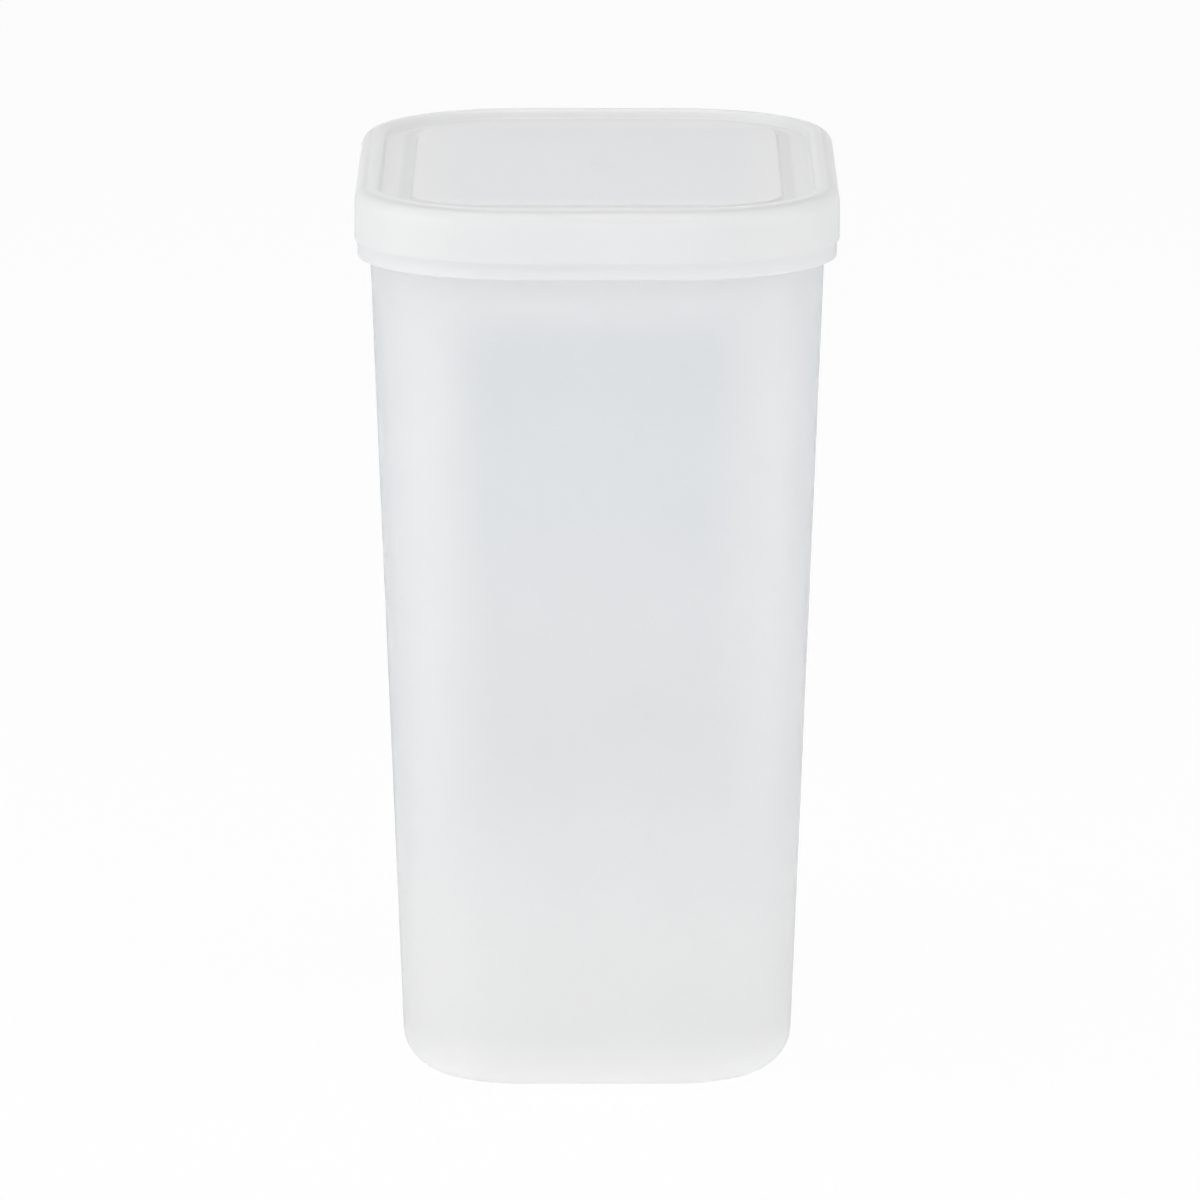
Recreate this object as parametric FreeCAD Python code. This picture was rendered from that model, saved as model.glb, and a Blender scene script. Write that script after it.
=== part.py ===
"""Tall tapered food keeper with a push-on lid, in millimetres.

The origin is the middle of the base, +Z is up and the narrow front faces -Y. Every wall follows one plan: a
rectangle of four corner axes, with straight sides and corners turned about those axes. A wall is drawn as a
profile of reach (its distance out from the corner axes) and height, and is then carried once round the plan.
"""

import FreeCAD, Part
import math
import os
from dataclasses import dataclass

# Container: plan at the mouth, height and walls
MOUTH_WIDTH = 94.6
MOUTH_DEPTH = 138.6
MOUTH_CORNER_RADIUS = 31.4
CONTAINER_HEIGHT = 184.6
WALL_DRAFT_DEGREES = 2.25
CONTAINER_WALL = 1.4
RIM_ROUNDING = 0.4

# Container: foot and base
BASE_THICKNESS = 1.8
BASE_RAISE = 1.5
FOOT_FILLET = 9.0
FOOT_RING_WIDTH = 4.0
BASE_STEP_RUN = 2.0
BASE_STEP_FILLET = 1.2

# Container: flange under the lid, with a turned-down lip
FLANGE_HEIGHT = 3.2
FLANGE_WALL = 1.2
FLANGE_SETBACK = 0.6
FLANGE_ROUNDING = 0.4

# Lid: skirt and raised rim
LID_WALL = 1.2
LID_TOP_THICKNESS = 1.4
LID_EDGE_RADIUS = 3.6
LID_RIM_INNER_RUN = 0.8
LID_RIM_INNER_ROUNDING = 1.2
CHANNEL_FILLET = 1.4
SKIRT_HEIGHT = 10.8
SKIRT_STANDOFF = 1.5
SKIRT_ROUNDING = 0.4

# Lid: recess inside the rim, and raised panel
RECESS_DEPTH = 2.0
RECESS_SIDE_WIDTH = 6.0
RECESS_END_WIDTH = 11.0
RECESS_FILLET = 0.5
PANEL_RISE = 0.75
PANEL_CORNER_RADIUS = 14.0
PANEL_EDGE_RUN = 0.5
PANEL_EDGE_ROUNDING = 0.4

# Lid: plug wall inside the mouth
PLUG_DEPTH = 7.6
PLUG_WALL = 1.1
PLUG_ROUNDING = 0.4

# Catch beads on the neck and inside the skirt
BEAD_HEIGHT = 1.6
BEAD_ROUNDING = 0.35
SKIRT_BEAD_REACH = 0.7
SKIRT_LEAD_IN = 1.1

# Marks left by the mould's gates
GATE_MARK_DIAMETER = 2.6
GATE_MARK_DEPTH = 0.25

# Clearances
SKIRT_GAP = 0.4
PLUG_CLEARANCE = 0.3
BEAD_CLEARANCE = 0.3

PARTS_FOLDER = "parts"
QUARTER_TURN = 90.0
UP = FreeCAD.Vector(0, 0, 1)


@dataclass(frozen=True)
class Corner:
    """One corner of a profile: its reach and height, and the radius that rounds it."""

    reach: float
    height: float
    rounding: float = 0.0

    def point(self):
        """The sharp corner, in the X-Z plane."""
        return FreeCAD.Vector(self.reach, 0, self.height)

    def arc(self, before, after):
        """Start, middle and end of the arc that rounds this corner, between its neighbours."""
        here = self.point()
        back = (before.point() - here).normalize()
        ahead = (after.point() - here).normalize()
        half_angle = back.getAngle(ahead) / 2
        trim = self.rounding / math.tan(half_angle)
        depth = self.rounding / math.sin(half_angle) - self.rounding
        return here + back * trim, here + (back + ahead).normalize() * depth, here + ahead * trim


def profile_face(corners):
    """Flat face inside a closed profile, with each corner rounded by a tangent arc."""
    edges = []
    following = corners[1:] + corners[:1]
    preceding = corners[-1:] + corners[:-1]
    arcs = [corner.arc(before, after) for before, corner, after in zip(preceding, corners, following)]
    for corner, arc, next_arc in zip(corners, arcs, arcs[1:] + arcs[:1]):
        if corner.rounding:
            edges.append(Part.Arc(*arc).toShape())
        edges.append(Part.LineSegment(arc[-1], next_arc[0]).toShape())
    return Part.Face(Part.Wire(edges))


@dataclass(frozen=True)
class Plan:
    """Rectangle of four corner axes, given by the place of the one with positive X and Y."""

    axis_x: float
    axis_y: float

    def carry(self, corners):
        """Solid that a profile makes when it is carried once round the plan.

        A profile that starts on the corner axes, at reach 0, also fills the rectangle between them.
        """
        face = profile_face(corners)
        pieces = []
        sides = [(1, 1, self.axis_y), (-1, 1, self.axis_x), (-1, -1, self.axis_y), (1, -1, self.axis_x)]
        for side, (sign_x, sign_y, half_length) in enumerate(sides):
            axis = FreeCAD.Vector(sign_x * self.axis_x, sign_y * self.axis_y, 0)
            turn = FreeCAD.Rotation(UP, side * QUARTER_TURN)
            section = face.copy()
            section.Placement = FreeCAD.Placement(axis, turn)
            pieces.append(section.extrude(turn.multVec(FreeCAD.Vector(0, -2 * half_length, 0))))
            pieces.append(section.revolve(axis, UP, QUARTER_TURN))
        core_heights = [corner.height for corner in corners if corner.reach == 0]
        if core_heights:
            low = FreeCAD.Vector(-self.axis_x, -self.axis_y, min(core_heights))
            core_height = max(core_heights) - min(core_heights)
            pieces.append(Part.makeBox(2 * self.axis_x, 2 * self.axis_y, core_height, low))
        return pieces[0].multiFuse(pieces[1:]).removeSplitter()


# Plan shared by the container and the lid
PLAN = Plan(MOUTH_WIDTH / 2 - MOUTH_CORNER_RADIUS, MOUTH_DEPTH / 2 - MOUTH_CORNER_RADIUS)

# Heights worked out from the seat of the lid on the mouth's rim
LID_TOP = CONTAINER_HEIGHT + LID_TOP_THICKNESS
SKIRT_BOTTOM = LID_TOP - SKIRT_HEIGHT
FLANGE_TOP = SKIRT_BOTTOM - SKIRT_GAP
SKIRT_BEAD_MIDDLE = SKIRT_BOTTOM + SKIRT_LEAD_IN + BEAD_HEIGHT / 2
NECK_BEAD_MIDDLE = SKIRT_BEAD_MIDDLE + BEAD_HEIGHT + BEAD_CLEARANCE
RECESS_TOP = LID_TOP - RECESS_DEPTH
PANEL_TOP = RECESS_TOP + PANEL_RISE

# Reaches worked out from the mouth's outer edge
SKIRT_INSIDE = MOUTH_CORNER_RADIUS + SKIRT_STANDOFF
SKIRT_OUTSIDE = SKIRT_INSIDE + LID_WALL
SKIRT_BEAD_INSIDE = SKIRT_INSIDE - SKIRT_BEAD_REACH
NECK_BEAD_OUTSIDE = SKIRT_BEAD_INSIDE - BEAD_CLEARANCE
FLANGE_OUTSIDE = SKIRT_OUTSIDE - FLANGE_SETBACK


def wall_outside(height):
    """Reach of the container's outer wall at a height: it leans out by the draft up to the mouth."""
    return MOUTH_CORNER_RADIUS - (CONTAINER_HEIGHT - height) * math.tan(math.radians(WALL_DRAFT_DEGREES))


def wall_inside(height):
    """Reach of the container's inner wall at a height."""
    return wall_outside(height) - CONTAINER_WALL


def plug_outside(height):
    """Reach of the plug wall's outer face at a height: it follows the container's inner wall."""
    return wall_inside(height) - PLUG_CLEARANCE


def plug_inside(height):
    """Reach of the plug wall's inner face at a height."""
    return plug_outside(height) - PLUG_WALL


def skirt_inside(height):
    """Reach of the skirt's inner face, which is upright, so the same at any height."""
    return SKIRT_INSIDE


def bead(wall_reach, tip_reach, middle):
    """Corners of a bead on a wall, from its lower edge up."""
    low = middle - BEAD_HEIGHT / 2
    high = middle + BEAD_HEIGHT / 2
    return [
        Corner(wall_reach(low), low, BEAD_ROUNDING),
        Corner(tip_reach, middle, BEAD_ROUNDING),
        Corner(wall_reach(high), high, BEAD_ROUNDING),
    ]


def gate_mark(surface_height):
    """Round cutter for the dimple that a gate leaves in the middle of a flat surface."""
    low = FreeCAD.Vector(0, 0, surface_height - GATE_MARK_DEPTH)
    return Part.makeCylinder(GATE_MARK_DIAMETER / 2, 2 * GATE_MARK_DEPTH, low)


def make_container():
    """Tapered body: raised base, rounded foot, wall, flange, neck and mouth rim."""
    foot_ring_outside = wall_outside(0) - FOOT_FILLET
    step_outside = foot_ring_outside - FOOT_RING_WIDTH
    step_inside = step_outside - BASE_STEP_RUN
    flange_underside = FLANGE_TOP - FLANGE_WALL
    flange_bottom = FLANGE_TOP - FLANGE_HEIGHT
    lip_inside = FLANGE_OUTSIDE - FLANGE_WALL
    profile = [
        Corner(0, BASE_RAISE),
        Corner(step_inside, BASE_RAISE, BASE_STEP_FILLET),
        Corner(step_outside, 0, BASE_STEP_FILLET),
        Corner(wall_outside(0), 0, FOOT_FILLET),
        Corner(wall_outside(flange_underside), flange_underside, FLANGE_ROUNDING),
        Corner(lip_inside, flange_underside, FLANGE_ROUNDING),
        Corner(lip_inside, flange_bottom, FLANGE_ROUNDING),
        Corner(FLANGE_OUTSIDE, flange_bottom, FLANGE_ROUNDING),
        Corner(FLANGE_OUTSIDE, FLANGE_TOP, FLANGE_ROUNDING),
        Corner(wall_outside(FLANGE_TOP), FLANGE_TOP, FLANGE_ROUNDING),
        *bead(wall_outside, NECK_BEAD_OUTSIDE, NECK_BEAD_MIDDLE),
        Corner(wall_outside(CONTAINER_HEIGHT), CONTAINER_HEIGHT, RIM_ROUNDING),
        Corner(wall_inside(CONTAINER_HEIGHT), CONTAINER_HEIGHT, RIM_ROUNDING),
        Corner(wall_inside(BASE_THICKNESS), BASE_THICKNESS, FOOT_FILLET - CONTAINER_WALL),
        Corner(step_outside, BASE_THICKNESS, BASE_STEP_FILLET),
        Corner(step_inside, BASE_RAISE + BASE_THICKNESS, BASE_STEP_FILLET),
        Corner(0, BASE_RAISE + BASE_THICKNESS),
    ]
    return PLAN.carry(profile).cut(gate_mark(BASE_RAISE))


def make_lid():
    """Push-on cover: skirt with a catch bead, rounded rim, plug wall, recess and raised panel."""
    recess_underside = RECESS_TOP - LID_WALL
    recess_outside = plug_inside(CONTAINER_HEIGHT)
    plug_bottom = CONTAINER_HEIGHT - PLUG_DEPTH
    cover = PLAN.carry(
        [
            Corner(0, recess_underside),
            Corner(plug_inside(recess_underside), recess_underside, RECESS_FILLET),
            Corner(plug_inside(plug_bottom), plug_bottom, PLUG_ROUNDING),
            Corner(plug_outside(plug_bottom), plug_bottom, PLUG_ROUNDING),
            Corner(plug_outside(CONTAINER_HEIGHT), CONTAINER_HEIGHT),
            Corner(SKIRT_INSIDE, CONTAINER_HEIGHT, CHANNEL_FILLET),
            *reversed(bead(skirt_inside, SKIRT_BEAD_INSIDE, SKIRT_BEAD_MIDDLE)),
            Corner(SKIRT_INSIDE, SKIRT_BOTTOM, SKIRT_ROUNDING),
            Corner(SKIRT_OUTSIDE, SKIRT_BOTTOM, SKIRT_ROUNDING),
            Corner(SKIRT_OUTSIDE, LID_TOP, LID_EDGE_RADIUS),
            Corner(recess_outside + LID_RIM_INNER_RUN, LID_TOP, LID_RIM_INNER_ROUNDING),
            Corner(recess_outside, RECESS_TOP, RECESS_FILLET),
            Corner(0, RECESS_TOP),
        ]
    )
    # The panel's corners are tighter than the rim's, so it has corner axes of its own
    axis_shift = recess_outside - PANEL_CORNER_RADIUS
    panel_plan = Plan(
        PLAN.axis_x + axis_shift - RECESS_SIDE_WIDTH,
        PLAN.axis_y + axis_shift - RECESS_END_WIDTH,
    )
    crest = PANEL_CORNER_RADIUS - PANEL_EDGE_RUN
    root = PANEL_CORNER_RADIUS + PANEL_EDGE_ROUNDING
    panel = panel_plan.carry(
        [
            Corner(0, recess_underside),
            Corner(root, recess_underside),
            Corner(root, RECESS_TOP),
            Corner(PANEL_CORNER_RADIUS, RECESS_TOP, PANEL_EDGE_ROUNDING),
            Corner(crest, PANEL_TOP, PANEL_EDGE_ROUNDING),
            Corner(0, PANEL_TOP),
        ]
    )
    hollow = panel_plan.carry(
        [
            Corner(0, recess_underside),
            Corner(PANEL_CORNER_RADIUS - LID_WALL, recess_underside),
            Corner(crest - LID_WALL, PANEL_TOP - LID_WALL, PANEL_EDGE_ROUNDING),
            Corner(0, PANEL_TOP - LID_WALL),
        ]
    )
    return cover.fuse(panel).cut(hollow).removeSplitter().cut(gate_mark(PANEL_TOP))


os.makedirs(PARTS_FOLDER, exist_ok=True)
for node, shape in {"container": make_container(), "lid": make_lid()}.items():
    shape.exportStep(f"{PARTS_FOLDER}/{node}.step")
    print(node, "valid", shape.isValid(), "solids", len(shape.Solids), "volume", round(shape.Volume, 1))
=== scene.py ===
"""Looks of a tall, tapered powder keeper: a frosted container and a milky push-on lid.

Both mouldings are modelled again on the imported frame, in metres. Each wall is drawn once as a section at
the front, rounded, carried round one quarter of the plan and mirrored, as a modeller would do it by hand.
"""

import logging
import math
from collections.abc import Callable, Sequence
from dataclasses import dataclass, field
from enum import Enum
from typing import Any

import bmesh
import bpy
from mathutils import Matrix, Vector


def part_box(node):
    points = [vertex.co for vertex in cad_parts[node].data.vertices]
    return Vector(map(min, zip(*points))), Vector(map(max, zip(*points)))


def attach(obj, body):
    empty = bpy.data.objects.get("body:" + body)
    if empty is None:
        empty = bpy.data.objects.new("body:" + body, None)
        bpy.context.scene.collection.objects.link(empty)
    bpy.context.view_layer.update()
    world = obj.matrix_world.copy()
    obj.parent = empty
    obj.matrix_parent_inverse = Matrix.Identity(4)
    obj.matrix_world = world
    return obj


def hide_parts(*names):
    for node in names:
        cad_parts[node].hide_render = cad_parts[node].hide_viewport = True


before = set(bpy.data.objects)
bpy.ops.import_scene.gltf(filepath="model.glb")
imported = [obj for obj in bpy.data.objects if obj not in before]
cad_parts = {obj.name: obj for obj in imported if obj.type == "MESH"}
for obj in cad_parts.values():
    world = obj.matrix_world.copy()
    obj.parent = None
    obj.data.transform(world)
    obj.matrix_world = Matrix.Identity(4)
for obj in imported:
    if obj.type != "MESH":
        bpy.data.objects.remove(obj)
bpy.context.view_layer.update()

LOG = logging.getLogger("keeper")
MM = 0.001
SAME_PLACE = 0.002 * MM
QUARTER_TURN = math.pi / 2
PLAIN_WHITE = (1.0, 1.0, 1.0, 1.0)

Point = tuple[float, float, float]
Colour = tuple[float, float, float]


class Body(Enum):
    """Bodies of the frame that the pieces ride on."""

    CONTAINER = "container"
    LID = "lid"


class Slot(Enum):
    """Material slots of the record."""

    FROSTED = "frosted_polypropylene"
    MILKY = "milky_polyethylene"


class Axis(Enum):
    """Axes of the frame."""

    X = "X"
    Y = "Y"
    Z = "Z"


class Value:
    """A number that a shader works out: a socket whose arithmetic adds Math nodes."""

    def __init__(self, shader: "Shader", socket: bpy.types.NodeSocket) -> None:
        """Wraps a socket.

        Args:
            shader: Shader that new Math nodes are added to.
            socket: Output that holds the number.
        """
        self.shader = shader
        self.socket = socket

    def _join(self, operation: str, left: "Value | float", right: "Value | float") -> "Value":
        """Adds one Math node.

        Args:
            operation: Name of the operation.
            left: First operand.
            right: Second operand.

        Returns:
            The node's result.
        """
        node = self.shader.node("ShaderNodeMath", {"operation": operation}, {0: left, 1: right})
        return Value(self.shader, node.outputs[0])

    def __add__(self, other: "Value | float") -> "Value":
        """Sum."""
        return self._join("ADD", self, other)

    def __radd__(self, other: float) -> "Value":
        """Sum with a plain number on the left."""
        return self._join("ADD", other, self)

    def __sub__(self, other: "Value | float") -> "Value":
        """Difference."""
        return self._join("SUBTRACT", self, other)

    def __rsub__(self, other: float) -> "Value":
        """Difference from a plain number on the left."""
        return self._join("SUBTRACT", other, self)

    def __mul__(self, other: "Value | float") -> "Value":
        """Product."""
        return self._join("MULTIPLY", self, other)

    def __rmul__(self, other: float) -> "Value":
        """Product with a plain number on the left."""
        return self._join("MULTIPLY", other, self)

    def __abs__(self) -> "Value":
        """Size without the sign."""
        return self._join("ABSOLUTE", self, 0.0)

    def root(self) -> "Value":
        """Square root."""
        return self._join("SQRT", self, 0.0)

    def larger(self, other: "Value | float") -> "Value":
        """The larger of two numbers."""
        return self._join("MAXIMUM", self, other)

    def smaller(self, other: "Value | float") -> "Value":
        """The smaller of two numbers."""
        return self._join("MINIMUM", self, other)


class Shader:
    """A node tree, with one method that adds any node to it.

    Attributes:
        MIX_COLOURS: Places of the two colours among a Mix node's inputs.
        MIX_RESULT: Place of the mixed colour among its outputs.
    """

    MIX_COLOURS = (6, 7)
    MIX_RESULT = 2

    def __init__(self, tree: bpy.types.NodeTree) -> None:
        """Takes an empty tree over.

        Args:
            tree: Node tree of a material or the world.
        """
        self.tree = tree
        tree.nodes.clear()

    def node(
        self, kind: str, settings: dict[str, Any] | None = None, inputs: dict[str | int, Any] | None = None
    ) -> bpy.types.Node:
        """Adds a node.

        Args:
            kind: Type of the node.
            settings: Properties of the node, set first.
            inputs: Values, sockets or numbers worked out, by the name or place of the input.

        Returns:
            The new node.
        """
        node = self.tree.nodes.new(kind)
        for name, setting in (settings or {}).items():
            setattr(node, name, setting)
        for name, given in (inputs or {}).items():
            if isinstance(given, Value):
                given = given.socket
            if isinstance(given, bpy.types.NodeSocket):
                self.tree.links.new(given, node.inputs[name])
            else:
                node.inputs[name].default_value = given
        return node

    def value(self, node: bpy.types.Node, output: str | int = 0) -> Value:
        """Number from one output of a node."""
        return Value(self, node.outputs[output])

    def mix(self, share: Value, first: Any, second: Any) -> bpy.types.NodeSocket:
        """Mixes two colours.

        Args:
            share: How much of the second colour there is.
            first: First colour, or its socket.
            second: Second colour, or its socket.

        Returns:
            Socket of the mixed colour.
        """
        node = self.node("ShaderNodeMix", {"data_type": "RGBA"}, {0: share})
        for place, colour in zip(self.MIX_COLOURS, (first, second)):
            if isinstance(colour, bpy.types.NodeSocket):
                self.tree.links.new(colour, node.inputs[place])
            else:
                node.inputs[place].default_value = (*colour, 1.0)
        return node.outputs[self.MIX_RESULT]

    def noise(self, scale: Point, detail: float = 2.0) -> Value:
        """Noise on object coordinates.

        Args:
            scale: Waves per metre along X, Y and Z.
            detail: Octaves of finer noise.

        Returns:
            Number about 0.5, from 0 to 1.
        """
        place = self.node("ShaderNodeTexCoord")
        stretched = self.node("ShaderNodeMapping", {}, {"Vector": place.outputs["Object"], "Scale": scale})
        noise = self.node(
            "ShaderNodeTexNoise", {}, {"Vector": stretched.outputs[0], "Scale": 1.0, "Detail": detail}
        )
        return self.value(noise, "Fac")

    def along(self, axis: Axis) -> Value:
        """Place along an axis of the frame, in metres.

        Args:
            axis: Axis that the place is measured along.

        Returns:
            Number that holds the place.
        """
        place = self.node("ShaderNodeTexCoord")
        split = self.node("ShaderNodeSeparateXYZ", {}, {0: place.outputs["Object"]})
        return self.value(split, axis.value)

    def rise(self, number: Value, low: float, high: float) -> Value:
        """Smooth step.

        Args:
            number: Number that is compared with the two ends.
            low: Where the step starts, at 0.
            high: Where the step ends, at 1.

        Returns:
            Number from 0 to 1.
        """
        settings = {"interpolation_type": "SMOOTHSTEP"}
        inputs = {"Value": number, "From Min": low, "From Max": high}
        return self.value(self.node("ShaderNodeMapRange", settings, inputs))


@dataclass(frozen=True)
class Bend:
    """One corner of a wall's section.

    Attributes:
        reach: Distance out from the corner axes.
        height: Height above the base.
        rounding: Radius that rounds the corner, or 0 where it stays sharp.
    """

    reach: float
    height: float
    rounding: float = 0.0


@dataclass(frozen=True)
class Plan:
    """Rectangle of four corner axes that a wall is carried round.

    Attributes:
        axis_x: Distance of the axes from the middle across the width, in metres.
        axis_y: Distance of the axes from the middle across the depth.
        corner_steps: Facets of a quarter turn round an axis.
    """

    axis_x: float
    axis_y: float
    corner_steps: int = 30

    def front(self, bend: Bend) -> Vector:
        """Place of a section's corner at the middle of the front."""
        return Vector((0.0, -self.axis_y - bend.reach, bend.height))


@dataclass(frozen=True)
class Band:
    """Tone of its own along an edge or level of a moulding: whiter where the plastic is thicker, and in
    most bands painted light or painted shade that stands in for how light falls there.

    Attributes:
        start: Distance past the edge where the band starts, in metres, negative before the edge.
        stop: Distance past the edge where it stops.
        fade: Width over which it fades out on both sides.
        colour: Colour of the plastic there.
        milkiness: Share of the milky surface there.
    """

    start: float
    stop: float
    # colour: Colour there: the plastic's own, or painted light or painted shade.
    fade: float
    colour: Colour
    milkiness: float = 0.0

    def share(self, shader: Shader, past: Value) -> Value:
        """How much of the band's tone there is.

        Args:
            shader: Shader that the nodes are added to.
            past: Distance past the edge.

        Returns:
            Number that is 1 in the band and fades to 0 on both sides.
        """
        inner = shader.rise(past, self.start - self.fade, self.start)
        outer = shader.rise(past, self.stop, self.stop + self.fade)
        return inner * (1.0 - outer)


@dataclass(frozen=True)
class LevelZone:
    """Band above and below a level of a moulding.

    Attributes:
        level: Height that the band is measured from, in metres.
        band: Tone and width of the zone.
    """

    level: float
    band: Band

    def share(self, shader: Shader) -> Value:
        """Number that is 1 in the zone and fades to 0 outside it."""
        return self.band.share(shader, shader.along(Axis.Z) - self.level)


@dataclass(frozen=True)
class CornerZone:
    """Upright corners of a moulding with a tone of their own: lighter on the container, painted light that
    stands in for the light its rounded corners catch, and darker on the lid.

    Attributes:
        plan: Corner axes that the band is measured from, across the width and the depth.
        band: Tone and width of the zone.
    """

    plan: Plan
    band: Band

    def share(self, shader: Shader) -> Value:
        """How much of the corners' tone there is.

        Args:
            shader: Shader that the nodes are added to.

        Returns:
            Number that is 1 in the corners and fades to 0 on the flat sides.
        """
        x = abs(shader.along(Axis.X)) - self.plan.axis_x
        y = abs(shader.along(Axis.Y)) - self.plan.axis_y
        return self.band.share(shader, x) * self.band.share(shader, y)


@dataclass(frozen=True)
class OutlineZone:
    """Band along a rounded rectangle in plan, such as the root or the edge of a raised panel.

    Attributes:
        plan: Corner axes of the rectangle.
        radius: Radius of its corners, in metres.
        floor: Height under which there is no band.
        band: Tone and width of the zone.
    """

    FLOOR_FADE = 1.0 * MM

    plan: Plan
    radius: float
    floor: float
    band: Band

    def share(self, shader: Shader) -> Value:
        """How much of the band's tone there is.

        Args:
            shader: Shader that the nodes are added to.

        Returns:
            Number that is 1 in the band and fades to 0 on both sides and under the floor.
        """
        x = abs(shader.along(Axis.X)) - self.plan.axis_x
        y = abs(shader.along(Axis.Y)) - self.plan.axis_y
        past_x, past_y = x.larger(0.0), y.larger(0.0)
        from_axes = (past_x * past_x + past_y * past_y).root() + x.larger(y).smaller(0.0)
        above = shader.rise(shader.along(Axis.Z), self.floor - self.FLOOR_FADE, self.floor)
        return self.band.share(shader, from_axes - self.radius) * above


Zone = LevelZone | CornerZone | OutlineZone


@dataclass(frozen=True)
class TranslucentPlastic:
    """Finish of a translucent moulding: satin skin, cloudy tone and faint flow lines.

    Attributes:
        name: Name of the material.
        low_tone: Colour near the base.
        high_tone: Colour near the mouth.
        clearness: Share of light that goes through instead of being scattered back.
        milky_clearness: The same where the plastic is milky.
        roughness: Roughness of the satin skin.
        grain_height: Height of the skin's fine grain, in metres.
        flow_height: Height of the flow lines, in metres.
        tone_low: Height up to which the low tone holds, in metres.
        tone_high: Height from which the high tone holds.
        refraction: Index of refraction of the plastic.
        grain_scale: Waves of the grain per metre.
        cloud_scale: Waves of the clouds per metre.
        cloud_depth: How much the clouds darken the plastic.
        flow_scale: Waves of the flow lines per metre along X, Y and Z.
        flow_depth: How much the flow lines darken the plastic.
        roughness_spread: How much the grain changes the roughness.
        octaves: Octaves of the grain and the clouds.
    """

    name: str
    low_tone: Colour
    high_tone: Colour
    clearness: float
    milky_clearness: float
    roughness: float
    grain_height: float
    flow_height: float
    tone_low: float = 15.0 * MM
    tone_high: float = 92.0 * MM
    refraction: float = 1.49
    grain_scale: float = 1900.0
    cloud_scale: float = 18.0
    cloud_depth: float = 0.008
    flow_scale: Point = (210.0, 210.0, 6.0)
    flow_depth: float = 0.008
    roughness_spread: float = 0.10
    octaves: float = 3.0

    def colour(self, shader: Shader, flow: Value, zones: Sequence[Zone]) -> bpy.types.NodeSocket:
        """Colour of the plastic: a tone by height, zones, soft clouds and flow lines; the container's tone
        by height and most zones are painted light and painted shade.

        Args:
            shader: Shader that the nodes are added to.
            flow: Pattern of the flow lines.
            zones: Places with tones of their own, each laid over the ones before it.

        Returns:
            Socket of the colour.
        """
        rise = shader.rise(shader.along(Axis.Z), self.tone_low, self.tone_high)
        colour = shader.mix(rise, self.low_tone, self.high_tone)
        for zone in zones:
            colour = shader.mix(zone.share(shader), colour, zone.band.colour)
        cloud = shader.noise((self.cloud_scale,) * 3, self.octaves)
        shade = cloud * self.cloud_depth + flow * self.flow_depth
        return shader.mix(shade, colour, (0.0, 0.0, 0.0))

    def milkiness(self, shader: Shader, zones: Sequence[Zone]) -> Value:
        """Share of the milky surface, from the zone that has most of it.

        Args:
            shader: Shader that the nodes are added to.
            zones: Zones, of which one at least is milky.

        Returns:
            Number from 0 to 1.
        """
        shares = [zone.share(shader) * zone.band.milkiness for zone in zones if zone.band.milkiness]
        most = shares[0]
        for share in shares[1:]:
            most = most.larger(share)
        return most

    def make(self, zones: Sequence[Zone]) -> bpy.types.Material:
        """Builds the material.

        Args:
            zones: Places of the moulding with tones of their own.

        Returns:
            Material for a mesh's slot.
        """
        material = bpy.data.materials.new(self.name)
        material.use_nodes = True
        shader = Shader(material.node_tree)
        grain = shader.noise((self.grain_scale,) * 3, self.octaves)
        flow = shader.noise(self.flow_scale)
        skin = grain * self.grain_height + flow * self.flow_height
        bump = shader.node("ShaderNodeBump", {}, {"Strength": 1.0, "Distance": 1.0, "Height": skin})
        shared = {
            "Base Color": self.colour(shader, flow, zones),
            "Roughness": self.roughness + (grain - 0.5) * self.roughness_spread,
            "IOR": self.refraction,
            "Normal": bump.outputs[0],
        }
        clear, milky = [
            shader.node("ShaderNodeBsdfPrincipled", {}, {**shared, "Transmission Weight": clearness})
            for clearness in (self.clearness, self.milky_clearness)
        ]
        surface = shader.node(
            "ShaderNodeMixShader",
            {},
            {0: self.milkiness(shader, zones), 1: clear.outputs[0], 2: milky.outputs[0]},
        )
        shader.node("ShaderNodeOutputMaterial", {}, {"Surface": surface.outputs[0]})
        return material


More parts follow.
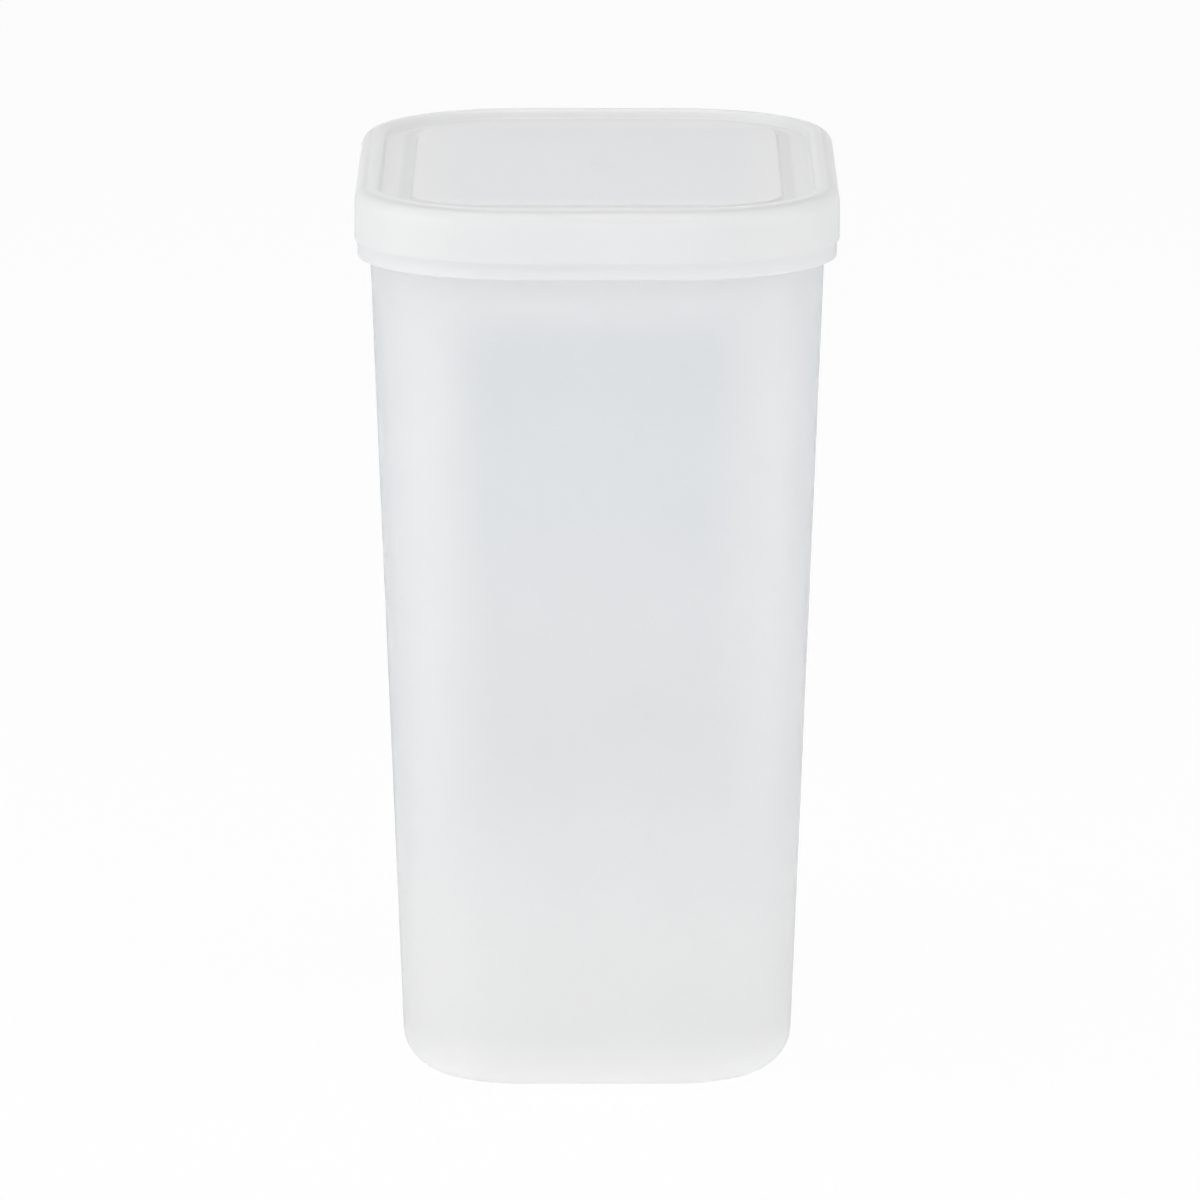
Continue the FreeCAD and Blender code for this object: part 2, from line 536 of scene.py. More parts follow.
class Modeller:
    """Models one mesh by operators, from sections that are carried round a plan.

    Attributes:
        FACET_TURN: Largest turn of one facet of a rounding, in radians.
        FEWEST_FACETS: Facets that a rounding has at least.
        SMOOTH_BELOW: Turn of an edge below which it is shaded smooth, in radians.
        SEED: Side of the plane that a section is drawn from, in metres.
        DIMPLE_RINGS: For each ring of a dimple, how far it shrinks and its share of the drop.
    """

    FACET_TURN = math.radians(11.0)
    FEWEST_FACETS = 2
    SMOOTH_BELOW = math.radians(38.0)
    SEED = 1.0 * MM
    DIMPLE_RINGS = ((0.86, 0.45), (0.84, 0.40), (0.70, 0.15))

    def __init__(self, name: str) -> None:
        """Starts with no mesh.

        Args:
            name: Name of the finished piece.
        """
        self.name = name
        self.piece: bpy.types.Object | None = None

    def carry(self, plan: Plan, section: Sequence[Bend]) -> None:
        """Adds a wall: draws its section at the front and carries it all round the plan.

        Args:
            plan: Corner axes that the wall goes round.
            section: Corners of the open section, from one end to the other.
        """
        bpy.ops.object.select_all(action="DESELECT")
        bpy.ops.mesh.primitive_plane_add(size=self.SEED)
        wall = bpy.context.object
        bpy.ops.object.mode_set(mode="EDIT")
        bpy.ops.mesh.select_mode(type="VERT")
        self._draw(plan, section)
        self._round(wall, plan, section)
        bpy.ops.mesh.select_all(action="SELECT")
        bpy.ops.mesh.extrude_region_move(TRANSFORM_OT_translate={"value": (plan.axis_x, 0.0, 0.0)})
        bpy.ops.mesh.spin(
            steps=plan.corner_steps,
            angle=QUARTER_TURN,
            center=(plan.axis_x, -plan.axis_y, 0.0),
            axis=(0.0, 0.0, -1.0),
        )
        bpy.ops.mesh.extrude_region_move(TRANSFORM_OT_translate={"value": (0.0, plan.axis_y, 0.0)})
        bpy.ops.object.mode_set(mode="OBJECT")
        self._mirror(wall)
        if self.piece is None:
            self.piece = wall
            wall.name = self.name
            wall.data.name = self.name
        else:
            self.piece.select_set(True)
            bpy.context.view_layer.objects.active = self.piece
            bpy.ops.object.join()

    def _draw(self, plan: Plan, section: Sequence[Bend]) -> None:
        """Draws the sharp section as a chain of edges, from the seed shrunk to one point.

        Args:
            plan: Corner axes that the section stands out from.
            section: Corners of the section.
        """
        bpy.ops.mesh.merge(type="CENTER")
        bpy.ops.transform.translate(value=plan.front(section[0]))
        for here, there in zip(section, section[1:]):
            step = plan.front(there) - plan.front(here)
            bpy.ops.mesh.extrude_vertices_move(TRANSFORM_OT_translate={"value": step})

    def _round(self, wall: bpy.types.Object, plan: Plan, section: Sequence[Bend]) -> None:
        """Rounds the section's corners by vertex bevels.

        Args:
            wall: Object that is in edit mode.
            plan: Corner axes that the section stands out from.
            section: Corners of the section.
        """
        for before, bend, after in zip(section, section[1:], section[2:]):
            if not bend.rounding:
                continue
            here = plan.front(bend)
            inner_angle = (plan.front(before) - here).angle(plan.front(after) - here)
            trim = bend.rounding / math.tan(inner_angle / 2)
            facets = max(self.FEWEST_FACETS, math.ceil((math.pi - inner_angle) / self.FACET_TURN))
            self._select(wall, lambda vertex, here=here: (vertex.co - here).length < SAME_PLACE)
            bpy.ops.mesh.bevel(offset=trim, segments=facets, affect="VERTICES", clamp_overlap=False)

    def _mirror(self, wall: bpy.types.Object) -> None:
        """Mirrors a quarter of a wall to all four.

        Args:
            wall: Object that holds the quarter.
        """
        mirror = wall.modifiers.new("quarters", "MIRROR")
        mirror.use_axis = (True, True, False)
        mirror.merge_threshold = SAME_PLACE
        bpy.ops.object.modifier_apply(modifier=mirror.name)

    def _select(self, wall: bpy.types.Object, wanted: Callable[[bmesh.types.BMVert], bool]) -> None:
        """Selects points, and the edges and faces between them.

        Args:
            wall: Object that is in edit mode.
            wanted: Test that a point has to pass.
        """
        bpy.ops.mesh.select_all(action="DESELECT")
        mesh = bmesh.from_edit_mesh(wall.data)
        for vertex in mesh.verts:
            vertex.select = wanted(vertex)
        mesh.select_flush_mode()
        bmesh.update_edit_mesh(wall.data)

    def _select_rims(self, height: float) -> None:
        """Selects the open rims at a height.

        Args:
            height: Height of the rims above the base.
        """
        bpy.ops.mesh.select_all(action="DESELECT")
        mesh = bmesh.from_edit_mesh(self.piece.data)
        for edge in mesh.edges:
            level = all(abs(vertex.co.z - height) < SAME_PLACE for vertex in edge.verts)
            edge.select_set(level and len(edge.link_faces) < 2)
        bmesh.update_edit_mesh(self.piece.data)

    def edit(self) -> None:
        """Starts to edit the piece, by edges."""
        bpy.ops.object.select_all(action="DESELECT")
        self.piece.select_set(True)
        bpy.context.view_layer.objects.active = self.piece
        bpy.ops.object.mode_set(mode="EDIT")
        bpy.ops.mesh.select_mode(type="EDGE")

    def close(self, height: float) -> None:
        """Closes the flat opening inside one rim, or between two rims at the same height.

        Args:
            height: Height of the rims above the base.
        """
        self._select_rims(height)
        bpy.ops.mesh.fill()

    def close_round_dimple(self, height: float, radius: float, drop: float, facets: int = 32) -> None:
        """Closes an open rim by a flat face with a round dimple in its middle.

        Args:
            height: Height of the rim above the base.
            radius: Radius of the dimple's edge.
            drop: How far down the dimple goes, or up where it is negative.
            facets: Sides of the dimple.
        """
        bpy.ops.mesh.select_all(action="DESELECT")
        bpy.ops.mesh.primitive_circle_add(vertices=facets, radius=radius, location=(0.0, 0.0, height))
        self.close(height)
        bpy.ops.mesh.select_mode(type="VERT")
        self._select(self.piece, lambda vertex: vertex.co.xy.length < radius + SAME_PLACE)
        for shrink, share in self.DIMPLE_RINGS:
            bpy.ops.mesh.select_mode(type="EDGE")
            bpy.ops.mesh.extrude_edges_move(TRANSFORM_OT_translate={"value": (0.0, 0.0, -drop * share)})
            bpy.ops.transform.resize(value=(shrink, shrink, 1.0), center_override=(0.0, 0.0, height))
        bpy.ops.mesh.edge_face_add()

    def finish(self) -> bpy.types.Object:
        """Ends the edit: welds seams, turns faces outwards and sets smooth shading.

        Returns:
            The finished object.
        """
        bpy.ops.mesh.select_all(action="SELECT")
        bpy.ops.mesh.remove_doubles(threshold=SAME_PLACE)
        bpy.ops.mesh.normals_make_consistent(inside=False)
        bpy.ops.object.mode_set(mode="OBJECT")
        bpy.ops.object.shade_smooth_by_angle(angle=self.SMOOTH_BELOW)
        weighted = self.piece.modifiers.new("even_shading", "WEIGHTED_NORMAL")
        weighted.keep_sharp = True
        bpy.ops.object.modifier_apply(modifier=weighted.name)
        return self.piece


@dataclass
class Fit:
    """Sizes that the two mouldings share, in metres, taken from the frame where it holds them.

    Attributes:
        skirt_wall: Wall of the lid's skirt.
        skirt_standoff: Gap between the mouth and the skirt.
        mouth_corner: Radius of the mouth's outer corners.
        skirt_gap: Gap between the skirt and the flange.
        skirt_edge: Rounding of the two edges at that gap.
        plug_clearance: Gap between the plug wall and the mouth.
        bead_clearance: Gap between the two catch beads.
        bead_height: Height of a catch bead.
        bead_rounding: Rounding of a catch bead.
        skirt_bead_reach: How far the skirt's bead stands out.
        skirt_lead_in: Plain height under the skirt's bead.
        container_wall: Wall of the container.
        draft: Slope of the container's wall, in radians.
        gate_radius: Radius of a moulding's gate mark.
        gate_depth: Depth of a gate mark.
        mouth_height: Height of the mouth's rim.
        lid_top: Height of the lid's rim.
        skirt_bottom: Height of the skirt's lower edge.
        plan: Corner axes of both mouldings.
    """

    skirt_wall: float = 1.2 * MM
    skirt_standoff: float = 1.5 * MM
    mouth_corner: float = 31.4 * MM
    skirt_gap: float = 0.05 * MM
    skirt_edge: float = 0.08 * MM
    plug_clearance: float = 0.3 * MM
    bead_clearance: float = 0.3 * MM
    bead_height: float = 1.6 * MM
    bead_rounding: float = 0.35 * MM
    skirt_bead_reach: float = 0.7 * MM
    skirt_lead_in: float = 1.1 * MM
    container_wall: float = 1.4 * MM
    draft: float = math.radians(2.25)
    gate_radius: float = 1.3 * MM
    gate_depth: float = 0.25 * MM
    mouth_height: float = field(init=False)
    lid_top: float = field(init=False)
    skirt_bottom: float = field(init=False)
    plan: Plan = field(init=False)

    def __post_init__(self) -> None:
        """Takes the main heights and the plan from the frame's nodes."""
        lid_low, lid_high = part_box("lid")
        self.mouth_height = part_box("container")[1].z
        self.lid_top = lid_high.z
        self.skirt_bottom = lid_low.z
        self.plan = Plan(lid_high.x - self.skirt_outside, lid_high.y - self.skirt_outside)

    @property
    def skirt_inside(self) -> float:
        """Reach of the skirt's inner face."""
        return self.mouth_corner + self.skirt_standoff

    @property
    def skirt_outside(self) -> float:
        """Reach of the skirt's outer face."""
        return self.skirt_inside + self.skirt_wall

    @property
    def flange_top(self) -> float:
        """Height of the flange's top face."""
        return self.skirt_bottom - self.skirt_gap

    @property
    def skirt_bead(self) -> float:
        """Height of the middle of the skirt's catch bead."""
        return self.skirt_bottom + self.skirt_lead_in + self.bead_height / 2

    @property
    def neck_bead(self) -> float:
        """Height of the middle of the neck's catch bead."""
        return self.skirt_bead + self.bead_height + self.bead_clearance

    def wall_outside(self, height: float) -> float:
        """Reach of the container's outer wall at a height."""
        return self.mouth_corner - (self.mouth_height - height) * math.tan(self.draft)

    def wall_inside(self, height: float) -> float:
        """Reach of the container's inner wall at a height."""
        return self.wall_outside(height) - self.container_wall

    def bead(self, wall: Callable[[float], float], tip: float, middle: float) -> list[Bend]:
        """Corners of a catch bead, from its lower edge up.

        Args:
            wall: Reach of the wall that carries the bead, by height.
            tip: Reach of the bead's tip.
            middle: Height of the bead's middle.

        Returns:
            The bead's three corners.
        """
        low, high = middle - self.bead_height / 2, middle + self.bead_height / 2
        return [
            Bend(wall(low), low, self.bead_rounding),
            Bend(tip, middle, self.bead_rounding),
            Bend(wall(high), high, self.bead_rounding),
        ]


@dataclass
class Container:
    """The tapered body: raised base, rounded foot, wall, flange, neck and mouth rim, in metres.

    Attributes:
        fit: Sizes that it shares with the lid.
        finish: Finish of its plastic.
        base_thickness: Thickness of the base.
        base_raise: How far the base stands above the floor inside its ring.
        foot_fillet: Radius between the wall and the base.
        foot_ring: Width of the flat ring that it stands on.
        base_step: Run of the slope from the ring up to the base.
        base_step_fillet: Rounding of that slope.
        flange_drop: Distance from the skirt down to the flange's lower edge.
        flange_wall: Wall of the flange.
        flange_setback: How far the flange stands in from the skirt.
        small_rounding: Rounding of the flange and the mouth's rim.
        floor_edge: Reach where the wall's section ends in the base.
    """

    fit: Fit
    finish: TranslucentPlastic
    base_thickness: float = 1.8 * MM
    base_raise: float = 1.5 * MM
    foot_fillet: float = 9.0 * MM
    foot_ring: float = 4.0 * MM
    base_step: float = 2.0 * MM
    base_step_fillet: float = 1.2 * MM
    flange_drop: float = 3.6 * MM
    flange_wall: float = 1.2 * MM
    flange_setback: float = 0.6 * MM
    small_rounding: float = 0.4 * MM
    floor_edge: float = 4.0 * MM

    @property
    def flange_low(self) -> float:
        """Height of the flange's lower edge."""
        return self.fit.skirt_bottom - self.flange_drop

    def section(self) -> list[Bend]:
        """Section of the wall.

        Returns:
            Its corners, from under the base, up the outside and down the inside to the floor.
        """
        fit = self.fit
        ring_outside = fit.wall_outside(0.0) - self.foot_fillet
        step_outside = ring_outside - self.foot_ring
        step_inside = step_outside - self.base_step
        flange_outside = fit.skirt_outside - self.flange_setback
        flange_under = fit.flange_top - self.flange_wall
        lip_inside = flange_outside - self.flange_wall
        bead_tip = fit.skirt_inside - fit.skirt_bead_reach - fit.bead_clearance
        floor = self.base_thickness
        rounding = self.small_rounding
        return [
            Bend(self.floor_edge, self.base_raise),
            Bend(step_inside, self.base_raise, self.base_step_fillet),
            Bend(step_outside, 0.0, self.base_step_fillet),
            Bend(fit.wall_outside(0.0), 0.0, self.foot_fillet),
            Bend(fit.wall_outside(flange_under), flange_under, rounding),
            Bend(lip_inside, flange_under, rounding),
            Bend(lip_inside, self.flange_low, rounding),
            Bend(flange_outside, self.flange_low, rounding),
            Bend(flange_outside, fit.flange_top, fit.skirt_edge),
            Bend(fit.wall_outside(fit.flange_top), fit.flange_top, rounding),
            *fit.bead(fit.wall_outside, bead_tip, fit.neck_bead),
            Bend(fit.wall_outside(fit.mouth_height), fit.mouth_height, rounding),
            Bend(fit.wall_inside(fit.mouth_height), fit.mouth_height, rounding),
            Bend(fit.wall_inside(floor), floor, self.foot_fillet - fit.container_wall),
            Bend(step_outside, floor, self.base_step_fillet),
            Bend(step_inside, self.base_raise + floor, self.base_step_fillet),
            Bend(self.floor_edge, self.base_raise + floor),
        ]

    def build(self) -> bpy.types.Object:
        """Models the container.

        Returns:
            The finished object.
        """
        modeller = Modeller("container_wall")
        modeller.carry(self.fit.plan, self.section())
        modeller.edit()
        modeller.close_round_dimple(self.base_raise, self.fit.gate_radius, -self.fit.gate_depth)
        modeller.close(self.base_raise + self.base_thickness)
        return modeller.finish()

    def zones(self) -> list[Zone]:
        """Places of the container with tones of their own: painted shade about the middle, painted light on
        the corners, under the flange and towards the base, and the whiter flange.

        Returns:
            Zones, each laid over the ones before it.
        """
        return [
            LevelZone(self.fit.mouth_height / 2, MIDDLE_BODY_PAINTED_SHADE),
            CornerZone(self.fit.plan, BODY_CORNERS_PAINTED_LIGHT),
            LevelZone(self.flange_low, UNDER_FLANGE_PAINTED_LIGHT),
            LevelZone(0.0, LOWER_BODY_PAINTED_LIGHT),
            LevelZone(0.0, FOOT_PAINTED_LIGHT),
            LevelZone(self.flange_low, FLANGE),
        ]

    def dress(self, piece: bpy.types.Object) -> None:
        """Gives the container its finish and ties it to the frame.

        Args:
            piece: Object that the container was built as.
        """
        piece.data.materials.append(self.finish.make(self.zones()))
        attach(piece, Body.CONTAINER.value)
        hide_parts("container")


@dataclass
class Lid:
    """The push-on cover: skirt, rounded rim, plug wall, recess and raised panel, in metres.

    Attributes:
        fit: Sizes that it shares with the container.
        finish: Finish of its plastic.
        edge_radius: Radius of the rim's outer edge.
        rim_inner_run: Run of the rim's inner slope.
        rim_inner_rounding: Rounding of the rim's inner edge.
        channel_fillet: Fillet over the mouth's rim, inside the skirt.
        small_rounding: Rounding of the plug wall and the skirt's inner edge.
        recess_depth: Depth of the recess below the rim.
        recess_side: Width of the recess along the sides.
        recess_end: Width of the recess at the front and the back.
        recess_fillet: Fillet at the recess's outer edge.
        floor_run: Width of the recess's floor that belongs to a section.
        panel_rise: How far the panel stands above the recess.
        panel_corner: Radius of the panel's corners.
        panel_edge_run: Run of the panel's slope.
        panel_rounding: Rounding of that slope.
        panel_edge: Reach where the panel's section ends in its flat top.
        plug_depth: How far the plug wall goes down into the mouth.
        plug_wall: Thickness of the plug wall.
    """

    fit: Fit
    finish: TranslucentPlastic
    edge_radius: float = 3.6 * MM
    rim_inner_run: float = 0.8 * MM
    rim_inner_rounding: float = 1.2 * MM
    channel_fillet: float = 1.4 * MM
    small_rounding: float = 0.4 * MM
    recess_depth: float = 2.0 * MM
    recess_side: float = 6.0 * MM
    recess_end: float = 11.0 * MM
    recess_fillet: float = 0.5 * MM
    floor_run: float = 1.0 * MM
    panel_rise: float = 0.75 * MM
    panel_corner: float = 14.0 * MM
    panel_edge_run: float = 0.5 * MM
    panel_rounding: float = 0.4 * MM
    panel_edge: float = 6.0 * MM
    plug_depth: float = 7.6 * MM
    plug_wall: float = 1.1 * MM

    def plug_outside(self, height: float) -> float:
        """Reach of the plug wall's outer face at a height."""
        return self.fit.wall_inside(height) - self.fit.plug_clearance

    def plug_inside(self, height: float) -> float:
        """Reach of the plug wall's inner face at a height."""
        return self.plug_outside(height) - self.plug_wall

    @property
    def recess_top(self) -> float:
        """Height of the recess's floor."""
        return self.fit.lid_top - self.recess_depth

    @property
    def recess_under(self) -> float:
        """Height of the underside of the recess's floor."""
        return self.recess_top - self.fit.skirt_wall

    @property
    def panel_top(self) -> float:
        """Height of the raised panel."""
        return self.recess_top + self.panel_rise

    @property
    def recess_outside(self) -> float:
        """Reach of the recess's outer edge."""
        return self.plug_inside(self.fit.mouth_height)

    def cover_section(self) -> list[Bend]:
        """Section of the lid outside its panel.

        Returns:
            Its corners, from the recess's underside, round plug wall, skirt and rim, to the recess's floor.
        """
        fit = self.fit
        plug_low = fit.mouth_height - self.plug_depth
        rounding = self.small_rounding
        bead_tip = fit.skirt_inside - fit.skirt_bead_reach
        skirt_bead = fit.bead(lambda height: fit.skirt_inside, bead_tip, fit.skirt_bead)
        floor_end = self.recess_outside - self.floor_run
        return [
            Bend(floor_end, self.recess_under),
            Bend(self.plug_inside(self.recess_under), self.recess_under, self.recess_fillet),
            Bend(self.plug_inside(plug_low), plug_low, rounding),
            Bend(self.plug_outside(plug_low), plug_low, rounding),
            Bend(self.plug_outside(fit.mouth_height), fit.mouth_height),
            Bend(fit.skirt_inside, fit.mouth_height, self.channel_fillet),
            *reversed(skirt_bead),
            Bend(fit.skirt_inside, fit.skirt_bottom, rounding),
            Bend(fit.skirt_outside, fit.skirt_bottom, fit.skirt_edge),
            Bend(fit.skirt_outside, fit.lid_top, self.edge_radius),
            Bend(self.recess_outside + self.rim_inner_run, fit.lid_top, self.rim_inner_rounding),
            Bend(self.recess_outside, self.recess_top, self.recess_fillet),
            Bend(floor_end, self.recess_top),
        ]

    def panel_plan(self) -> Plan:
        """Plan of the panel, whose corners are tighter than the rim's.

        Returns:
            Corner axes of the panel.
        """
        shift = self.recess_outside - self.panel_corner
        plan = self.fit.plan
        return Plan(plan.axis_x + shift - self.recess_side, plan.axis_y + shift - self.recess_end)

    def panel_sections(self) -> tuple[list[Bend], list[Bend]]:
        """Sections of the panel.

        Returns:
            Corners of its top and of the hollow under it, from the recess inwards.
        """
        crest = self.panel_corner - self.panel_edge_run
        wall = self.fit.skirt_wall
        root = self.panel_corner + self.floor_run
        top = [
            Bend(root, self.recess_top),
            Bend(self.panel_corner, self.recess_top, self.panel_rounding),
            Bend(crest, self.panel_top, self.panel_rounding),
            Bend(self.panel_edge, self.panel_top),
        ]
        hollow = [
            Bend(root, self.recess_under),
            Bend(self.panel_corner - wall, self.recess_under),
            Bend(crest - wall, self.panel_top - wall, self.panel_rounding),
            Bend(self.panel_edge, self.panel_top - wall),
        ]
        return top, hollow

    def build(self) -> bpy.types.Object:
        """Models the lid.

        Returns:
            The finished object.
        """
        modeller = Modeller("lid_cover")
        modeller.carry(self.fit.plan, self.cover_section())
        for section in self.panel_sections():
            modeller.carry(self.panel_plan(), section)
        modeller.edit()
        for height in (self.recess_top, self.recess_under, self.panel_top - self.fit.skirt_wall):
            modeller.close(height)
        modeller.close_round_dimple(self.panel_top, self.fit.gate_radius, self.fit.gate_depth)
        return modeller.finish()

    def zones(self) -> list[Zone]:
        """Places of the lid with tones of their own: painted light on the rim's top and the panel's edge,
        painted shade on the rim's outer edge, at the recess's root, in the groove and towards the panel's
        middle.

        Returns:
            Zones, each laid over the ones before it.
        """
        rim = (self.fit.plan, self.recess_outside, self.recess_top)
        panel = (self.panel_plan(), self.panel_corner, self.recess_top)
        return [
            LevelZone(self.fit.skirt_bottom, SKIRT),
            CornerZone(self.fit.plan, LID_CORNERS),
            OutlineZone(*rim, RECESS),
            OutlineZone(*rim, RIM_TOP_PAINTED_LIGHT),
            OutlineZone(*rim, RIM_EDGE_PAINTED_SHADE),
            OutlineZone(*rim, RECESS_ROOT_PAINTED_SHADE),
            OutlineZone(*panel, PANEL_MIDDLE_PAINTED_SHADE),
            OutlineZone(*panel, PANEL_EDGE_PAINTED_LIGHT),
            OutlineZone(*panel, GROOVE_PAINTED_SHADE),
        ]

    def dress(self, piece: bpy.types.Object) -> None:
        """Gives the lid its finish and ties it to the frame.

        Args:
            piece: Object that the lid was built as.
        """
        piece.data.materials.append(self.finish.make(self.zones()))
        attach(piece, Body.LID.value)
        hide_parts("lid")


@dataclass(frozen=True)
class Lamp:
    """A soft area light that is aimed at the middle of the object.

    Attributes:
        name: Name of the light.
        azimuth: Direction round the object in degrees, 0 in front and 90 on the right.
        elevation: Height above the horizon in degrees.
        distance: Distance from the object's middle, in metres.
        size: Side of the square panel, in metres.
        power: Power in watts.
    """

    name: str
    azimuth: float
    elevation: float
    distance: float
    size: float
    power: float

    def place(self, middle: Vector) -> None:
        """Adds the light to the scene.

        Args:
            middle: Point that the light is aimed at.
        """
        turn, rise = math.radians(self.azimuth), math.radians(self.elevation)
        away = Vector((math.sin(turn) * math.cos(rise), -math.cos(turn) * math.cos(rise), math.sin(rise)))
        bpy.ops.object.light_add(type="AREA", location=middle + away * self.distance)
        light = bpy.context.object
        light.name = self.name
        light.rotation_euler = away.to_track_quat("Z", "Y").to_euler()
        light.data.size = self.size
        light.data.energy = self.power


@dataclass(frozen=True)
class Studio:
    """White floor and world, and soft lamps.

    Attributes:
        lamps: Lights round the object.
        ambient: Strength of the white surroundings, as the object's surfaces see them.
        floor_size: Side of the floor, in metres.
        floor_tone: Colour of the floor.
        floor_glow: Share of plain white in what the camera sees of the floor.
        table_light: Share of plain white in the light that the floor gives, as a light table does.
        floor_drop: How far the floor lies under the base, in metres.
    """

    lamps: tuple[Lamp, ...]
    ambient: float = 0.3
    floor_size: float = 14.0
    floor_tone: Colour = (0.95, 0.95, 0.95)
    floor_glow: float = 0.95
    table_light: float = 1.0
    floor_drop: float = 0.05 * MM

    def seen_directly(self, shader: Shader) -> Value:
        """Tells what is seen from what only gives light.

        Args:
            shader: Shader that the nodes are added to.

        Returns:
            Number that is 1 for what the camera, a reflection or a clear wall shows, and 0 for light.
        """
        path = shader.node("ShaderNodeLightPath")
        camera = shader.value(path, "Is Camera Ray")
        mirrored = shader.value(path, "Is Glossy Ray")
        through = shader.value(path, "Is Transmission Ray")
        return (camera + mirrored + through).smaller(1.0)

    def build(self, middle: Vector) -> None:
        """Makes the world, the floor and the lamps.

        Args:
            middle: Middle of the object.
        """
        self._world()
        self._floor()
        for lamp in self.lamps:
            lamp.place(middle)

    def _world(self) -> None:
        """White surroundings, softer as light than as background."""
        world = bpy.data.worlds.new("white_surroundings")
        world.use_nodes = True
        bpy.context.scene.world = world
        shader = Shader(world.node_tree)
        seen = self.seen_directly(shader)
        strength = self.ambient + seen * (1.0 - self.ambient)
        background = shader.node("ShaderNodeBackground", {}, {"Color": PLAIN_WHITE, "Strength": strength})
        shader.node("ShaderNodeOutputWorld", {}, {"Surface": background.outputs[0]})

    def _floor(self) -> None:
        """Pale floor that keeps the object's shadow and looks white to the camera."""
        bpy.ops.object.select_all(action="DESELECT")
        bpy.ops.mesh.primitive_plane_add(size=self.floor_size, location=(0.0, 0.0, -self.floor_drop))
        floor = bpy.context.object
        floor.name = "pale_floor"
        material = bpy.data.materials.new("pale_floor")
        material.use_nodes = True
        shader = Shader(material.node_tree)
        matte = shader.node("ShaderNodeBsdfDiffuse", {}, {"Color": (*self.floor_tone, 1.0)})
        white = shader.node("ShaderNodeEmission", {}, {"Color": PLAIN_WHITE, "Strength": 1.0})
        share = self.table_light + self.seen_directly(shader) * (self.floor_glow - self.table_light)
        both = shader.node("ShaderNodeMixShader", {}, {0: share, 1: matte.outputs[0], 2: white.outputs[0]})
        shader.node("ShaderNodeOutputMaterial", {}, {"Surface": both.outputs[0]})
        floor.data.materials.append(material)


@dataclass(frozen=True)
class ProductCamera:
    """Long lens in front of the narrow side, looking slightly down.

    Attributes:
        pitch: Angle that it looks down, in degrees.
        distance: Distance from the object's middle, in metres.
        focal_pixels: Focal length in pixels of the picture.
        middle_pixel: Where the object's middle is in the picture.
        picture_side: Side of the picture, in pixels.
        sensor: Width of the sensor, in millimetres.
        far_clip: Distance up to which things are shown, in metres.
    """

    pitch: float = 11.02
    distance: float = 2.382
    focal_pixels: float = 11310.0
    middle_pixel: tuple[float, float] = (597.17, 593.6)
    picture_side: float = 1200.0
    sensor: float = 36.0
    far_clip: float = 100.0

    def place(self, middle: Vector) -> None:
        """Adds the camera to the scene.

        Args:
            middle: Middle of the object.
        """
        tilt = math.radians(self.pitch)
        away = Vector((0.0, -math.cos(tilt), math.sin(tilt)))
        bpy.ops.object.camera_add(
            location=middle + away * self.distance, rotation=(QUARTER_TURN - tilt, 0.0, 0.0)
        )
        camera = bpy.context.object
        camera.name = "product_camera"
        camera.data.sensor_width = self.sensor
        camera.data.lens = self.focal_pixels / self.picture_side * self.sensor
        camera.data.shift_x = 0.5 - self.middle_pixel[0] / self.picture_side
        camera.data.shift_y = self.middle_pixel[1] / self.picture_side - 0.5
        camera.data.clip_end = self.far_clip
        bpy.context.scene.camera = camera


# Finishes of the two mouldings, and bands of their own tone at the edges that each class names; most bands
# are painted light or painted shade, as noted at each
FAR = 99.0 * MM
WHITE_PLASTIC = (0.99, 0.991, 0.994)
# Bluish own tint of the container; its darker high tone is also painted shade under the lid, and its
# lighter low tone painted light from the floor
FROSTED = TranslucentPlastic(
    name="frosted_polypropylene_satin",
    low_tone=(0.988, 0.988, 0.99),
    high_tone=(0.917, 0.934, 0.947),
    clearness=0.8,
    milky_clearness=0.25,
    roughness=0.6,
    grain_height=0.012 * MM,
    flow_height=0.010 * MM,
)
# Painted shade: a darker band about the middle of the body's height
MIDDLE_BODY_PAINTED_SHADE = Band(-12.0 * MM, 6.0 * MM, 26.0 * MM, (0.935, 0.938, 0.948))
# Painted light: lighter, milkier upright corners, standing in for the light the rounded corners catch
BODY_CORNERS_PAINTED_LIGHT = Band(20.0 * MM, FAR, 16.0 * MM, (0.972, 0.974, 0.979), milkiness=0.2)
# Painted light: lighter and milkier towards the base, standing in for light from the floor
LOWER_BODY_PAINTED_LIGHT = Band(0.0, 12.0 * MM, 70.0 * MM, WHITE_PLASTIC, milkiness=0.4)
# Painted light: the foot's rounding whiter and milky, standing in for the light it catches from the floor
FOOT_PAINTED_LIGHT = Band(0.0, 2.0 * MM, 18.0 * MM, WHITE_PLASTIC, milkiness=1.0)
# Painted light: a lighter band just under the flange that lifts the shadow the flange casts there
UNDER_FLANGE_PAINTED_LIGHT = Band(-5.0 * MM, 0.0, 11.0 * MM, (0.977, 0.985, 0.993), milkiness=0.15)
FLANGE = Band(0.0, 14.0 * MM, 0.5 * MM, (0.966, 0.972, 0.986), milkiness=0.85)
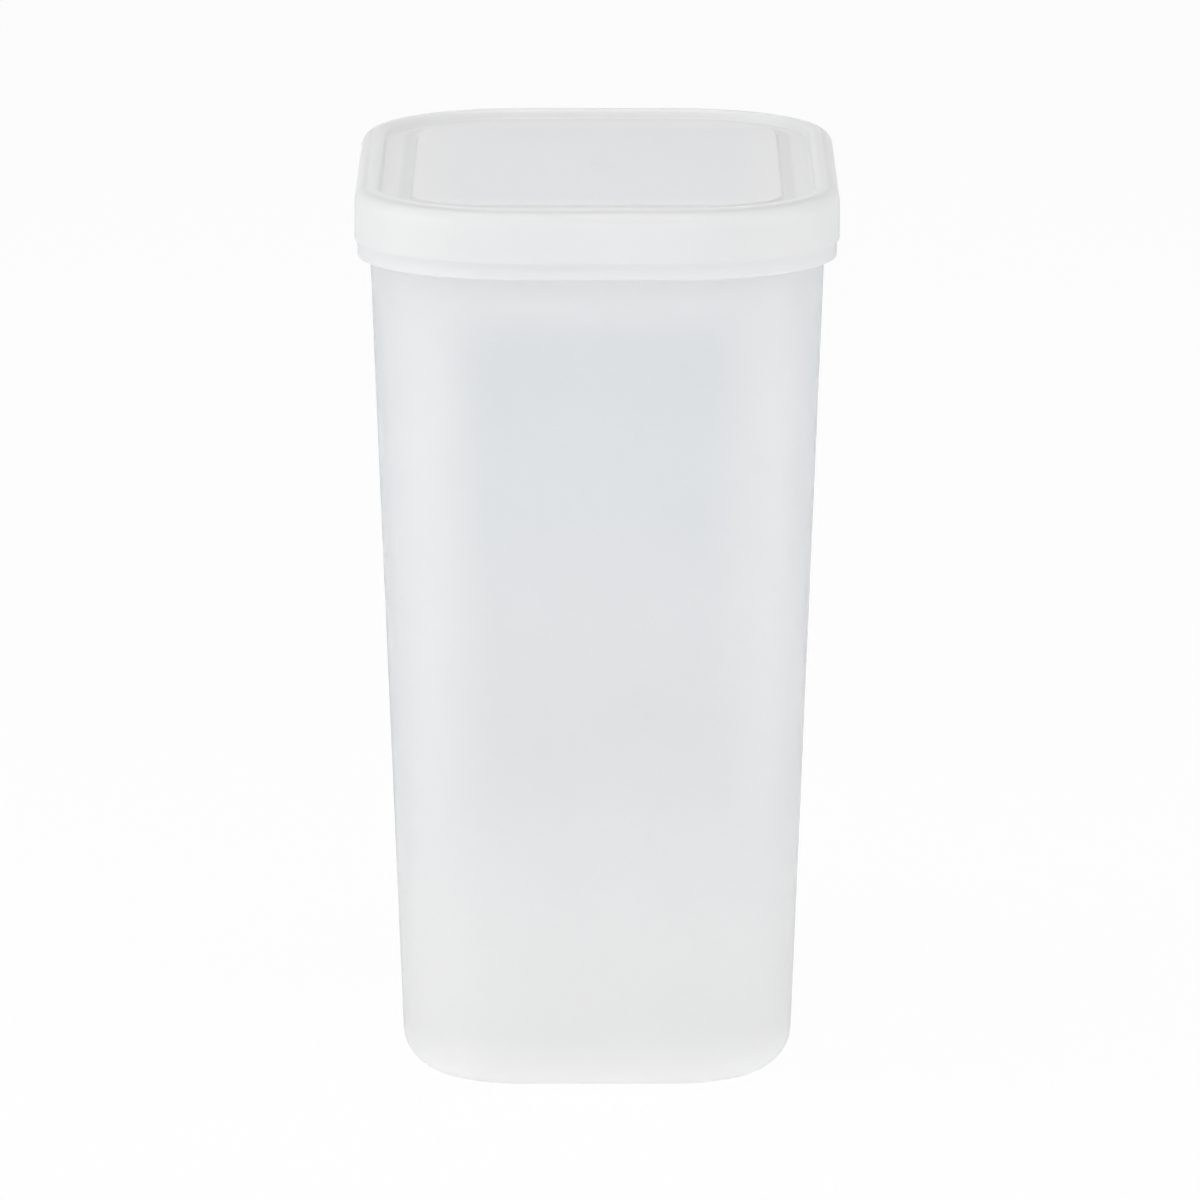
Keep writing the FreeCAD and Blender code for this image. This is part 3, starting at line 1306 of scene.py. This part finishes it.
MILKY = TranslucentPlastic(
    name="milky_polyethylene_waxy",
    low_tone=(0.993, 0.995, 0.999),
    high_tone=(0.993, 0.995, 0.999),
    clearness=0.4,
    milky_clearness=0.2,
    roughness=0.5,
    grain_height=0.010 * MM,
    flow_height=0.006 * MM,
)
SKIRT = Band(0.0, 8.0 * MM, 3.0 * MM, (0.985, 0.990, 0.999), milkiness=0.45)
LID_CORNERS = Band(20.0 * MM, FAR, 16.0 * MM, (0.976, 0.978, 0.983))
RECESS = Band(-FAR, 0.0, 0.5 * MM, (0.998, 0.999, 1.0), milkiness=0.6)
# Painted light: the rim's top made milkier so that it looks lighter
RIM_TOP_PAINTED_LIGHT = Band(0.0, 2.8 * MM, 0.6 * MM, (0.988, 0.99, 0.994), milkiness=0.85)
# Painted shade: a darker band on the rim's rounded outer edge
RIM_EDGE_PAINTED_SHADE = Band(3.2 * MM, 6.0 * MM, 0.8 * MM, (0.965, 0.967, 0.972))
# Painted shade: a darker line in the crease at the root of the rim's inner wall
RECESS_ROOT_PAINTED_SHADE = Band(-0.7 * MM, 0.0, 0.4 * MM, (0.972, 0.974, 0.979))
# Painted shade: the panel darker towards its middle, away from the light that comes in at its edges
PANEL_MIDDLE_PAINTED_SHADE = Band(-FAR, -12.0 * MM, 12.0 * MM, (0.962, 0.967, 0.981))
# Painted highlight: a white band just inside the panel's edge
PANEL_EDGE_PAINTED_LIGHT = Band(-1.6 * MM, -0.4 * MM, 1.4 * MM, (1.0, 1.0, 1.0))
# Painted shade: a darker groove round the foot of the panel, where shade gathers
GROOVE_PAINTED_SHADE = Band(-0.1 * MM, 1.9 * MM, 1.0 * MM, (0.924, 0.926, 0.932))
LAMPS = (
    Lamp("left_softbox", azimuth=-78.0, elevation=12.0, distance=1.2, size=1.0, power=5.6),
    Lamp("right_softbox", azimuth=78.0, elevation=12.0, distance=1.2, size=1.0, power=4.1),
    Lamp("top_softbox", azimuth=-25.0, elevation=82.0, distance=1.3, size=1.0, power=7.8),
    Lamp("front_softbox", azimuth=0.0, elevation=3.0, distance=1.2, size=0.6, power=3.8),
)


def main() -> None:
    """Builds the two mouldings, the studio and the camera."""
    logging.basicConfig(level=logging.INFO, format="%(name)s: %(message)s")
    bpy.context.scene.view_settings.view_transform = "Standard"
    fit = Fit()
    for moulding in (Container(fit, FROSTED), Lid(fit, MILKY)):
        piece = moulding.build()
        moulding.dress(piece)
        LOG.info("%s: %d points, %d faces", piece.name, len(piece.data.vertices), len(piece.data.polygons))
    middle = Vector((0.0, 0.0, fit.lid_top / 2))
    Studio(LAMPS).build(middle)
    ProductCamera().place(middle)


if __name__ == "__main__":
    main()
